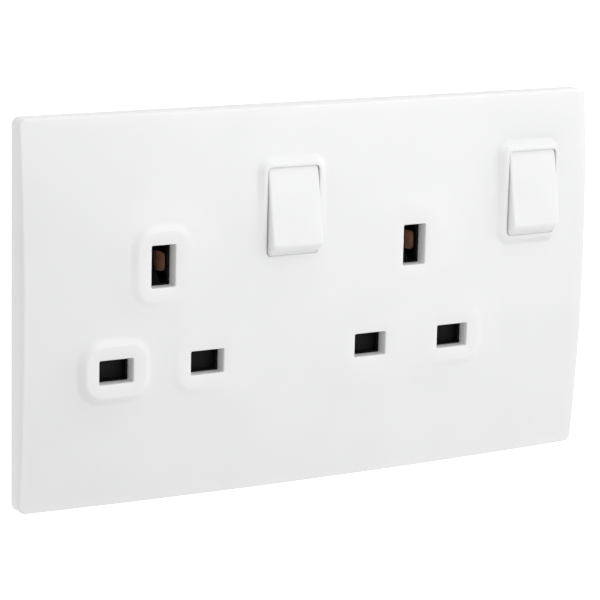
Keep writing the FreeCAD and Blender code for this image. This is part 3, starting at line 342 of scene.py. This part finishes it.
def plate_rim(shell):
    """The rounded edge, the side wall, its foot and its inner face. Gives the front's and ceiling's edges."""
    front_line = plate_outline(EDGE_ROUND)
    depths = [front_depth(x, z) for x, z in front_line]
    front_edge = shell.ring([(x, y, z) for (x, z), y in zip(front_line, depths)])
    edge = front_edge
    for step in range(1, EDGE_STEPS + 1):
        angle = math.radians(90 * step / EDGE_STEPS)
        line = plate_outline(EDGE_ROUND * (1 - math.sin(angle)))
        drop = EDGE_ROUND * (1 - math.cos(angle))
        ring = shell.ring([(x, y + drop, z) for (x, z), y in zip(line, depths)])
        shell.bridge(ring, edge)
        edge = ring
    for inset, y in ((0, -FOOT_ROUND), (FOOT_MIDDLE, -FOOT_MIDDLE), (FOOT_ROUND, 0), (RIM_WALL, 0)):
        ring = shell.ring([(x, y, z) for x, z in plate_outline(inset)])
        shell.bridge(ring, edge)
        edge = ring
    ceiling = shell.ring([(x, dome_depth(x, z) + SKIN_WALL, z) for x, z in plate_outline(RIM_WALL)])
    shell.bridge(ceiling, edge)
    return front_edge, ceiling


def plate_opening(shell, pad):
    """One opening with its pad and its well. Gives the rings that join the front and the ceiling."""
    x, z = pad["at"]
    w, h, corner = pad["hole"]
    pad_w, pad_h = pad["size"]
    counts = (10, 16) if pad["window"] else (8, 8)

    def around(width, height, round_by, depth):
        """A ring round the opening. The depth is a number or a function of (x, z)."""
        line = rounded_rectangle(x, z, width, height, round_by, along_w=counts[0], along_h=counts[1])
        return shell.ring([(px, depth(px, pz) if callable(depth) else depth, pz) for px, pz in line])

    # From the well's back end forward along the opening's wall, round the lip and across the pad
    made = []
    for step in range(WELL_STEPS):
        y = HOUSING_FACE + (LIP_ROUND - PAD_FACE - HOUSING_FACE) * step / WELL_STEPS
        height = 2 * window_half(y) if pad["window"] else h
        made.append(around(w, height, corner, y))
    for step in range(LIP_STEPS + 1):
        angle = math.radians(90 * step / LIP_STEPS)
        grow = LIP_ROUND * (1 - math.cos(angle))
        y = -PAD_FACE + LIP_ROUND * (1 - math.sin(angle))
        made.append(around(w + 2 * grow, h + 2 * grow, corner + grow, y))
    for out in PAD_RINGS:
        made.append(around(pad_w + 2 * out, pad_h + 2 * out, pad["corner"] + out, front_depth))
    for a, b in zip(made, made[1:]):
        shell.bridge(a, b)

    # The well's end face, and its outside up to the ceiling
    tall = 2 * WINDOW_RADIUS if pad["window"] else h
    size = (w + 2 * WELL_WALL, tall + 2 * WELL_WALL, corner + WELL_WALL / 2)
    end = around(*size, lambda px, pz: max(HOUSING_FACE, dome_depth(px, pz) + WELL_COVER))
    top = around(*size, lambda px, pz: dome_depth(px, pz) + SKIN_WALL)
    shell.bridge(end, made[0])
    for i, j in zip(end, top):
        shell.points[j].y = min(shell.points[j].y, shell.points[i].y)
    shell.bridge(top, end)
    return made[-1], top


def grid_points():
    """Places of the mesh's points on the plain dome, between the pads' outermost rings."""
    places = []
    nx, nz = int(PLATE_WIDTH / 2 / GRID_STEP), int(PLATE_HEIGHT / 2 / GRID_STEP)
    for i in range(-nx, nx + 1):
        for j in range(-nz, nz + 1):
            x, z = i * GRID_STEP, j * GRID_STEP
            if abs(x) > PLATE_WIDTH / 2 - GRID_MARGIN or abs(z) > PLATE_HEIGHT / 2 - GRID_MARGIN:
                continue
            near = min(distance_outside(x, z, *p["at"], *p["size"], p["corner"]) for p in PADS)
            if near > PAD_RINGS[-1] + GRID_GAP:
                places.append((x, z))
    return places


def snap_ribs(shell):
    """The ribs inside the rim that snap into the frame."""
    for x in SNAP_PLACES:
        for sign in (-1, 1):
            profile = [(y, sign * (PLATE_HEIGHT / 2 - RIM_WALL - reach)) for y, reach in SNAP_PROFILE]
            drawn(shell, profile, x - SNAP_LENGTH / 2, x + SNAP_LENGTH / 2)


def cover_plate():
    """The plate: domed front with pads and collars, wells behind its openings, rim and snap ribs."""
    shell = Shell()
    front_edge, ceiling = plate_rim(shell)
    pairs = [plate_opening(shell, pad) for pad in PADS]
    fronts, tops = [front for front, _ in pairs], [top for _, top in pairs]
    shell.fill(front_edge, fronts, grid_points(), front_depth)
    shell.fill(ceiling, tops, [], lambda x, z: dome_depth(x, z) + SKIN_WALL, True)
    snap_ribs(shell)
    return shell.build("plate_skin", PLATE_SMOOTH)


def rocker_shell(shell):
    """The rocker's hollow cap: rounded edge, side walls, skirt and the inside up to its ceiling."""

    def ring(front, inset, wall, corner):
        half_height = math.sqrt((ROCKER_RADIUS - wall) ** 2 - front**2)
        size = (2 * (ROCKER_HALF - wall - inset), 2 * (half_height - inset))
        line = rounded_rectangle(0, 0, *size, corner, 6, 6, 10)
        return shell.ring([(x, -front, z) for x, z in line])

    made = []
    for step in range(EDGE_STEPS + 1):
        angle = math.radians(90 * step / EDGE_STEPS)
        inset = ROCKER_EDGE * (1 - math.sin(angle))
        front = ROCKER_FACE - ROCKER_EDGE * (1 - math.cos(angle))
        made.append(ring(front, inset, 0, ROCKER_CORNER - inset * 0.7))
    side = ROCKER_FACE - ROCKER_EDGE - ROCKER_SKIRT
    for step in range(1, SIDE_STEPS + 1):
        made.append(ring(ROCKER_FACE - ROCKER_EDGE - side * step / SIDE_STEPS, 0, 0, ROCKER_CORNER))
    hollow = ROCKER_FACE - ROCKER_WALL - ROCKER_SKIRT
    for step in range(HOLLOW_STEPS + 1):
        made.append(ring(ROCKER_SKIRT + hollow * step / HOLLOW_STEPS, 0, ROCKER_WALL, ROCKER_HOLLOW_CORNER))
    for a, b in zip(made, made[1:]):
        shell.bridge(b, a)
    shell.cap(made[0], True)
    shell.cap(made[-1])


def plunger_block(shell):
    """The block behind the rocker's face: outer walls, a back face round two bores, and the bores."""
    ceiling = ROCKER_WALL - ROCKER_FACE
    line = block_outline(0, BLOCK_HALF, BLOCK_REACH)
    foot = shell.ring([(x, ceiling - SUNK, z) for x, z in line])
    rim = shell.ring([(x, BLOCK_END, z) for x, z in line])
    shell.bridge(foot, rim)
    shell.cap(foot)
    mouths = []
    for sign in (-1, 1):
        line = block_outline(sign * POLE_OFFSET, BORE_HALF, BORE_REACH)
        mouth = shell.ring([(x, BLOCK_END, z) for x, z in line])
        bottom = shell.ring([(x, ceiling + BORE_FLOOR, z) for x, z in line])
        shell.bridge(mouth, bottom)
        shell.cap(bottom)
        mouths.append(mouth)
    shell.fill(rim, mouths, [], lambda x, z: BLOCK_END)


def trunnions(shell):
    """A lobe under each side wall of the rocker and the round pivot on it."""
    lobe_top = -ROCKER_SKIRT - SUNK
    lobe = [
        (lobe_top, -LOBE_HALF),
        (lobe_top, LOBE_HALF),
        (LOBE_CUT, LOBE_HALF),
        (LOBE_HALF, LOBE_CUT),
        (LOBE_HALF, -LOBE_CUT),
        (LOBE_CUT, -LOBE_HALF),
    ]
    pivot = circle(TRUNNION_RADIUS, TRUNNION_SIDES)
    for sign in (-1, 1):
        outer = sign * ROCKER_HALF
        drawn(shell, lobe, sign * (ROCKER_HALF - ROCKER_WALL), outer)
        drawn(shell, pivot, outer, outer + sign * TRUNNION_LENGTH)


def rocker_cap(side):
    """One rocker in its off position."""
    shell = Shell()
    rocker_shell(shell)
    plunger_block(shell)
    trunnions(shell)
    tilt = Matrix.Rotation(math.radians(-ROCKER_TILT), 4, "X")
    place = Matrix.Translation((SWITCH_X[side], PIVOT_Y, SWITCH_Z)) @ tilt
    shell.points = [place @ p for p in shell.points]
    return shell.build(f"{side}_rocker_cap", SHARP_EDGE)


def circle(radius, sides):
    """Points round a circle about the origin."""
    turns = [math.tau * i / sides for i in range(sides)]
    return [(radius * math.cos(turn), radius * math.sin(turn)) for turn in turns]


def block_outline(x, half, reach):
    """Corners of a rectangle about (x, 0)."""
    return [(x + half, reach), (x - half, reach), (x - half, -reach), (x + half, -reach)]


def drawn(shell, outline, x0, x1):
    """A closed (y, z) outline drawn out along X and capped."""
    near = shell.ring([(x0, y, z) for y, z in outline])
    far = shell.ring([(x1, y, z) for y, z in outline])
    shell.bridge(near, far)
    shell.cap(near)
    shell.cap(far, True)


def turned(shell, x, z, outline):
    """A turned shape about an axis along Y, from (radius, depth) pairs, capped at both ends."""
    rings = []
    for radius, y in outline:
        rings.append(shell.ring([(x + a, y, z + b) for a, b in circle(radius, SCREW_SIDES)]))
    for a, b in zip(rings, rings[1:]):
        shell.bridge(a, b)
    shell.cap(rings[0])
    shell.cap(rings[-1], True)


def recess(shell, x, z, levels, arms, spin):
    """The tool for a cross or slot: arms round a screw's axis, from its floor to above the head."""
    loops = []
    for y, reach, half in levels:
        points = []
        for arm in range(arms):
            angle = math.radians(spin + 360 / arms * arm)
            along = Vector((math.cos(angle), 0, math.sin(angle)))
            across = Vector((-math.sin(angle), 0, math.cos(angle)))
            inner = [(half, -half)] if arms > 2 else []
            for a, b in inner + [(reach, -half), (reach, half)]:
                points.append(Vector((x, y, z)) + along * a + across * b)
        loops.append(shell.ring(points))
    shell.bridge(*loops)
    shell.cap(loops[0])
    shell.cap(loops[1], True)


def cut_out(piece, cutter):
    """Cut one mesh out of another and keep the result."""
    tool = piece.modifiers.new("cut", "BOOLEAN")
    tool.operation = "DIFFERENCE"
    tool.solver = "EXACT"
    tool.object = cutter
    graph = bpy.context.evaluated_depsgraph_get()
    mesh = bpy.data.meshes.new_from_object(piece.evaluated_get(graph))
    piece.modifiers.clear()
    piece.data = mesh
    bpy.data.objects.remove(cutter)
    shade(piece, SHARP_EDGE)


def housing_screws():
    """Four pan-head screws with cross recesses that hold the two housings together."""
    shell, tool = Shell(), Shell()
    for turn, (x, z) in enumerate(SCREW_PLACES):
        turned(shell, x, z, SCREW_OUTLINE)
        recess(tool, x, z, CROSS, 4, SCREW_SPIN + SCREW_SPIN_STEP * turn)
    piece = shell.build("housing_screw_set", SHARP_EDGE)
    cut_out(piece, tool.build("crosses", SHARP_EDGE))
    return piece


def terminal_screws():
    """Four cheese-head clamping screws with a slot."""
    shell, tool = Shell(), Shell()
    for turn, x in enumerate(TERMINAL_X):
        turned(shell, x, TERMINAL_Z, TERMINAL_OUTLINE)
        recess(tool, x, TERMINAL_Z, SLOT, 2, TERMINAL_SPIN + TERMINAL_SPIN_STEP * turn)
    piece = shell.build("terminal_screw_set", SHARP_EDGE)
    cut_out(piece, tool.build("slots", SHARP_EDGE))
    return piece


TARNISH = (0.6, 0.5, 0.42, 1)
NOISE_RANGE = (0.3, 0.7)


class Nodes:
    """Short calls for building a material's nodes."""

    def __init__(self, name):
        self.material = bpy.data.materials.new(name)
        self.material.use_nodes = True
        self.tree = self.material.node_tree
        self.shader = self.tree.nodes["Principled BSDF"]
        self.coords = self.tree.nodes.new("ShaderNodeTexCoord").outputs["Object"]

    def noise(self, scale, detail=3.0, rough=0.5, stretch=(1, 1, 1)):
        mapping = self.tree.nodes.new("ShaderNodeMapping")
        mapping.inputs["Scale"].default_value = stretch
        self.tree.links.new(self.coords, mapping.inputs["Vector"])
        node = self.tree.nodes.new("ShaderNodeTexNoise")
        node.inputs["Scale"].default_value = scale
        node.inputs["Detail"].default_value = detail
        node.inputs["Roughness"].default_value = rough
        self.tree.links.new(mapping.outputs["Vector"], node.inputs["Vector"])
        return node.outputs["Fac"]

    def cells(self, scale):
        node = self.tree.nodes.new("ShaderNodeTexVoronoi")
        node.inputs["Scale"].default_value = scale
        self.tree.links.new(self.coords, node.inputs["Vector"])
        return node.outputs["Distance"]

    def ramp(self, source, low, high):
        """Map the middle part of a noise to a range of values."""
        node = self.tree.nodes.new("ShaderNodeMapRange")
        node.inputs["From Min"].default_value, node.inputs["From Max"].default_value = NOISE_RANGE
        node.inputs["To Min"].default_value = low
        node.inputs["To Max"].default_value = high
        self.tree.links.new(source, node.inputs["Value"])
        return node.outputs["Result"]

    def colours(self, source, dark, light):
        """Blend two colours along the middle part of a noise."""
        node = self.tree.nodes.new("ShaderNodeMix")
        node.data_type = "RGBA"
        node.inputs["A"].default_value = (*dark, 1)
        node.inputs["B"].default_value = (*light, 1)
        self.tree.links.new(self.ramp(source, 0, 1), node.inputs["Factor"])
        return node.outputs["Result"]

    def bump(self, source, strength, distance, before=None):
        node = self.tree.nodes.new("ShaderNodeBump")
        node.inputs["Strength"].default_value = strength
        node.inputs["Distance"].default_value = distance
        self.tree.links.new(source, node.inputs["Height"])
        if before is not None:
            self.tree.links.new(before, node.inputs["Normal"])
        return node.outputs["Normal"]

    def set(self, name, value):
        socket = self.shader.inputs[name]
        if hasattr(value, "is_linked"):
            self.tree.links.new(value, socket)
        else:
            socket.default_value = value


def white_plastic(name, dark, light, rough, grain):
    """Pale moulded plastic with a satin face, a faint cloudiness and a very fine grain."""
    spread = 0.035
    n = Nodes(name)
    n.set("Base Color", n.colours(n.noise(scale=55), dark, light))
    n.set("Roughness", n.ramp(n.noise(scale=420, detail=4, rough=0.6), rough - spread, rough + spread))
    fine = n.bump(n.noise(scale=5200, detail=2), strength=grain, distance=0.00003)
    waves = n.noise(scale=160, detail=2)
    n.set("Normal", n.bump(waves, strength=grain * 0.5, distance=0.0001, before=fine))
    n.set("Specular IOR Level", 0.5)
    n.set("IOR", 1.5)
    n.set("Subsurface Weight", 0.35)
    n.set("Subsurface Radius", (1.0, 0.97, 0.93))
    n.set("Subsurface Scale", 0.0016)
    return n.material


def dark_plastic(name, dark, light, rough, grain, shine):
    """Black moulding with a spark-eroded grain and cloudy gloss."""
    spread = 0.07
    n = Nodes(name)
    n.set("Base Color", n.colours(n.noise(scale=180, detail=4), dark, light))
    n.set("Roughness", n.ramp(n.noise(scale=700, detail=4, rough=0.6), rough - spread, rough + spread))
    pits = n.bump(n.cells(scale=2600), strength=grain, distance=0.00006)
    n.set("Normal", n.bump(n.noise(scale=1800), strength=grain * 0.6, distance=0.00005, before=pits))
    n.set("Specular IOR Level", shine)
    return n.material


def metal(name, dark, light, rough, streaks, tarnish, metallic=1.0):
    """Rolled or turned metal: streaks one way, with patches of tarnish."""
    n = Nodes(name)
    patches = n.noise(scale=240, detail=5, rough=0.65)
    base = n.tree.nodes.new("ShaderNodeMix")
    base.data_type = "RGBA"
    base.blend_type = "MULTIPLY"
    n.tree.links.new(n.ramp(patches, 0, tarnish), base.inputs["Factor"])
    lines = n.noise(scale=900, stretch=streaks)
    n.tree.links.new(n.colours(lines, dark, light), base.inputs["A"])
    base.inputs["B"].default_value = TARNISH
    n.set("Base Color", base.outputs["Result"])
    n.set("Metallic", metallic)
    n.set("Roughness", n.ramp(lines, rough - 0.06, rough + 0.09))
    n.set("Normal", n.bump(lines, strength=0.12, distance=0.00004))
    return n.material


def paint(piece, material):
    """Give a piece one material in every slot."""
    piece.data.materials.clear()
    piece.data.materials.append(material)


BLACK = ((0.003, 0.003, 0.0032), (0.006, 0.006, 0.0063))
DARK_GREY = ((0.016, 0.016, 0.018), (0.032, 0.032, 0.034))

# Materials, one for each slot of the record
MATERIALS = {
    "white_plate": white_plastic("plate plastic", (0.858, 0.86, 0.862), (0.882, 0.883, 0.883), 0.36, 0.08),
    "white_rocker": white_plastic("rocker plastic", (0.855, 0.857, 0.86), (0.88, 0.88, 0.88), 0.34, 0.06),
    "frame_plastic": white_plastic("frame plastic", (0.70, 0.70, 0.68), (0.75, 0.75, 0.73), 0.52, 0.25),
    "plunger_plastic": white_plastic("plunger nylon", (0.60, 0.585, 0.53), (0.68, 0.665, 0.61), 0.42, 0.12),
    "black_moulding": dark_plastic("front moulding", *BLACK, 0.55, 0.25, 0.12),
    "black_shutter": dark_plastic("shutter moulding", *BLACK, 0.5, 0.15, 0.12),
    "rear_moulding": dark_plastic("rear moulding", *DARK_GREY, 0.5, 0.35, 0.4),
    "plated_steel": metal("zinc plate", (0.5, 0.5, 0.49), (0.66, 0.66, 0.65), 0.3, (1, 1, 6), 0.35),
    "spring_steel": metal("spring wire", (0.42, 0.42, 0.43), (0.58, 0.58, 0.6), 0.28, (1, 1, 8), 0.2),
    "brass_strip": metal("rolled brass", (0.56, 0.38, 0.15), (0.72, 0.52, 0.24), 0.32, (1, 6, 9), 0.5),
    "brass_block": metal("machined brass", (0.6, 0.43, 0.18), (0.76, 0.57, 0.28), 0.3, (10, 2, 1), 0.35),
    "copper_clip": metal("phosphor bronze", (0.62, 0.36, 0.24), (0.8, 0.5, 0.36), 0.42, (1, 7, 9), 0.5, 0.75),
}

SLOT_OF = {part["node"]: part["material_slot"] for part in frame["record"]["subparts"]}


def dress(piece, body, slot, *nodes):
    """Place a finished piece on its body, in its slot, instead of its CAD nodes."""
    paint(piece, MATERIALS[slot])
    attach(piece, body)
    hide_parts(*nodes)


dress(cover_plate(), "housing", "white_plate", "cover_plate")
for side_name in ("left", "right"):
    dress(rocker_cap(side_name), f"{side_name}_rocker", "white_rocker", f"{side_name}_rocker")
dress(housing_screws(), "housing", "plated_steel", "housing_screws")
dress(terminal_screws(), "housing", "plated_steel", "terminal_screws")

REPLACED = ("cover_plate", "left_rocker", "right_rocker", "housing_screws", "terminal_screws")
for node_name, node in NODES.items():
    if node_name in REPLACED:
        continue
    paint(node, MATERIALS[SLOT_OF[node_name]])
    shade(node, SHARP_EDGE)


def camera():
    """The photograph's viewpoint."""
    lens = bpy.data.cameras.new("camera")
    lens.sensor_width = SENSOR
    lens.lens = LENS
    lens.clip_start, lens.clip_end = 0.01, 50.0
    eye = bpy.data.objects.new("camera", lens)
    bpy.context.scene.collection.objects.link(eye)
    position, target = Vector(EYE) * MM, Vector(TARGET) * MM
    back = (position - target).normalized()
    right = Vector((0, 0, 1)).cross(back).normalized()
    turn = Matrix((right, back.cross(right), back)).transposed() @ Matrix.Rotation(math.radians(ROLL), 3, "Z")
    eye.matrix_world = Matrix.Translation(position) @ turn.to_4x4()
    bpy.context.scene.camera = eye


def area_light(name, position, target, size, power):
    """A soft square light aimed at a point."""
    lamp = bpy.data.lights.new(name, "AREA")
    lamp.shape = "SQUARE"
    lamp.size = size
    lamp.energy = power
    holder = bpy.data.objects.new(name, lamp)
    bpy.context.scene.collection.objects.link(holder)
    holder.location = position
    aim = Vector(target) - Vector(position)
    holder.rotation_euler = aim.to_track_quat("-Z", "Y").to_euler()


def any_ray(tree, *kinds):
    """A socket that is 1 for rays of the given kinds and 0 for others."""
    path = tree.nodes.new("ShaderNodeLightPath")
    found = path.outputs[kinds[0]]
    for kind in kinds[1:]:
        either = tree.nodes.new("ShaderNodeMath")
        either.operation = "MAXIMUM"
        tree.links.new(found, either.inputs[0])
        tree.links.new(path.outputs[kind], either.inputs[1])
        found = either.outputs[0]
    return found


def mixed(tree, factor, first, second, output):
    """Mix two shaders by a factor and give the result to the output node."""
    mix = tree.nodes.new("ShaderNodeMixShader")
    for place, source in enumerate((factor, first, second)):
        tree.links.new(source, mix.inputs[place])
    tree.links.new(mix.outputs[0], tree.nodes.new(output).inputs["Surface"])


def surroundings():
    """White all round as the camera and mirrors see it, and weaker as a light."""
    world = bpy.data.worlds.new("surroundings")
    bpy.context.scene.world = world
    world.use_nodes = True
    tree = world.node_tree
    tree.nodes.clear()
    shaders = []
    for strength in (AMBIENT, 1.0):
        shader = tree.nodes.new("ShaderNodeBackground")
        shader.inputs["Color"].default_value = (1, 1, 1, 1)
        shader.inputs["Strength"].default_value = strength
        shaders.append(shader.outputs[0])
    direct = any_ray(tree, "Is Camera Ray", "Is Glossy Ray", "Is Transmission Ray")
    mixed(tree, direct, *shaders, "ShaderNodeOutputWorld")


def floor():
    """A plain pale floor that looks white and keeps the object's shadow."""
    mesh = bpy.data.meshes.new("floor")
    far, level = FLOOR_HALF, FLOOR_LEVEL
    corners = [(-far, -far, level), (far, -far, level), (far, far, level), (-far, far, level)]
    mesh.from_pydata(corners, [], [(0, 1, 2, 3)])
    ground = bpy.data.objects.new("floor", mesh)
    bpy.context.scene.collection.objects.link(ground)
    material = bpy.data.materials.new("floor")
    material.use_nodes = True
    tree = material.node_tree
    tree.nodes.clear()
    diffuse = tree.nodes.new("ShaderNodeBsdfDiffuse")
    diffuse.inputs["Color"].default_value = (FLOOR_SHADE, FLOOR_SHADE, FLOOR_SHADE, 1)
    glow = tree.nodes.new("ShaderNodeEmission")
    glow.inputs["Strength"].default_value = FLOOR_GLOW
    both = tree.nodes.new("ShaderNodeAddShader")
    tree.links.new(diffuse.outputs[0], both.inputs[0])
    tree.links.new(glow.outputs[0], both.inputs[1])
    direct = any_ray(tree, "Is Camera Ray", "Is Glossy Ray")
    mixed(tree, direct, diffuse.outputs[0], both.outputs[0], "ShaderNodeOutputMaterial")
    mesh.materials.append(material)


bpy.context.scene.view_settings.view_transform = "Standard"
camera()
surroundings()
for lamp_name, position, size, power in LIGHTS:
    area_light(lamp_name, position, (0, 0, 0), size, power)
floor()
